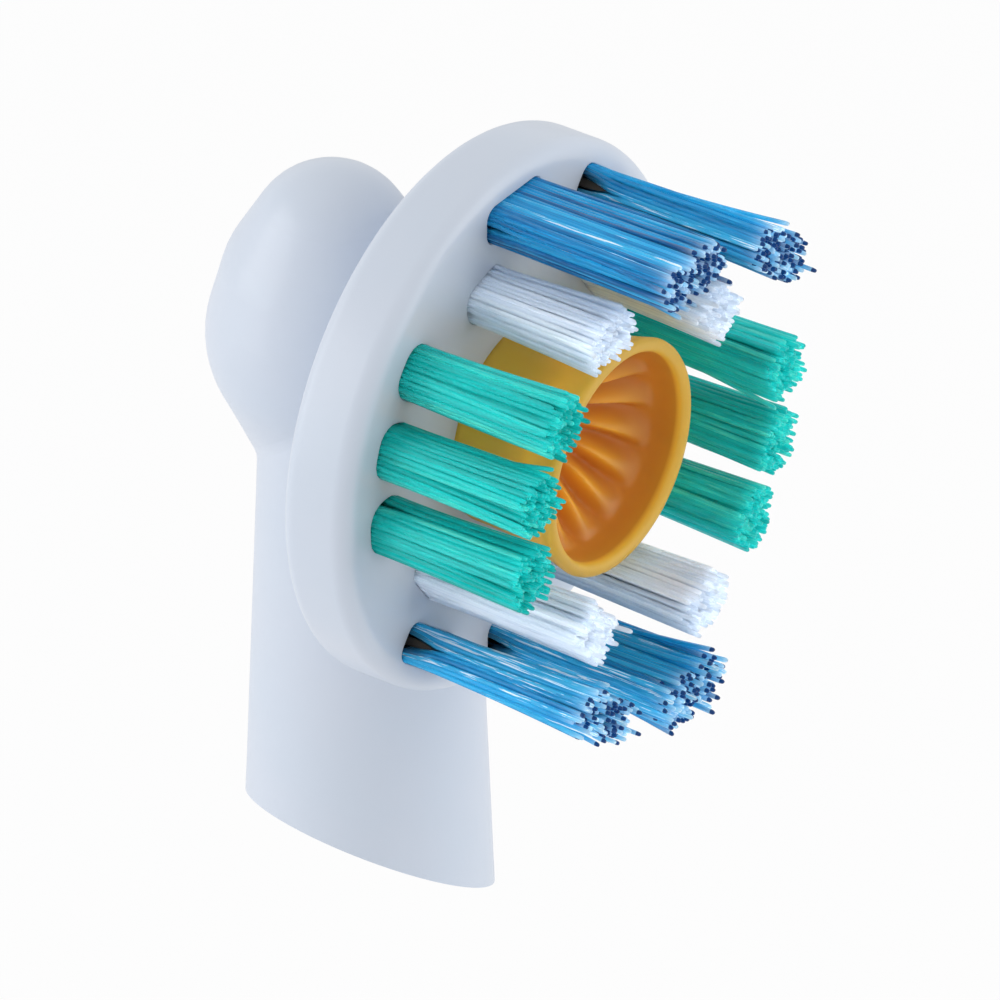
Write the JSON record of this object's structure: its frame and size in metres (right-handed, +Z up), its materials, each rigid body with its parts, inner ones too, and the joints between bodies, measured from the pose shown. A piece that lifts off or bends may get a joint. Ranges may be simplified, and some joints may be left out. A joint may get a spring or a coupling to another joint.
{
  "type": "electric toothbrush head",
  "caption": "Electric toothbrush head: hollow neck with a domed back, a round disc of coloured tufts round a soft polishing cup, and a drive shaft that swings the disc to and fro.",
  "frame": {"origin": "centre of the drive socket's mouth, on the neck's axis", "axes": "+Z up the neck towards the head, bristles facing -Y, +X to the right seen from the bristle side"},
  "size_m": [0.0136, 0.0135, 0.0222],
  "materials": {
    "white_plastic": "smooth moulded",
    "soft_cup": "soft moulded, satin",
    "blue_nylon": "drawn filaments",
    "white_nylon": "drawn filaments",
    "green_nylon": "drawn filaments",
    "steel": "turned",
    "shaft_plastic": "moulded",
    "bush_plastic": "moulded",
    "brass_plate": "stamped"
  },
  "bodies": {
    "housing": {"neck_housing": "white_plastic", "carrier_axle": "steel", "shaft_bush": "bush_plastic"},
    "carrier": {"bristle_carrier": "white_plastic", "polishing_cup": "soft_cup", "tuft_anchors": "brass_plate", "blue_tuft_1": "blue_nylon", "blue_tuft_2": "blue_nylon", "blue_tuft_3": "blue_nylon", "blue_tuft_4": "blue_nylon", "white_tuft_1": "white_nylon", "white_tuft_2": "white_nylon", "white_tuft_3": "white_nylon", "white_tuft_4": "white_nylon", "green_tuft_1": "green_nylon", "green_tuft_2": "green_nylon", "green_tuft_3": "green_nylon", "green_tuft_4": "green_nylon", "green_tuft_5": "green_nylon", "green_tuft_6": "green_nylon"},
    "drive": {"drive_shaft": "shaft_plastic", "drive_pin": "steel"}
  },
  "joints": [
    {"name": "carrier_swing", "type": "hinge", "parent": "housing", "child": "carrier", "pos_m": [0, 0, 0.0115], "axis": [0, -1, 0], "range_deg": [-3, 41]},
    {"name": "shaft_turn", "type": "hinge", "parent": "housing", "child": "drive", "pos_m": [0, 0, 0], "axis": [0, 0, 1], "range_deg": [-3.05, 37]}
  ],
  "couplings": [
    {"joint": "shaft_turn", "follows": "carrier_swing", "ratio": 0.9}
  ]
}
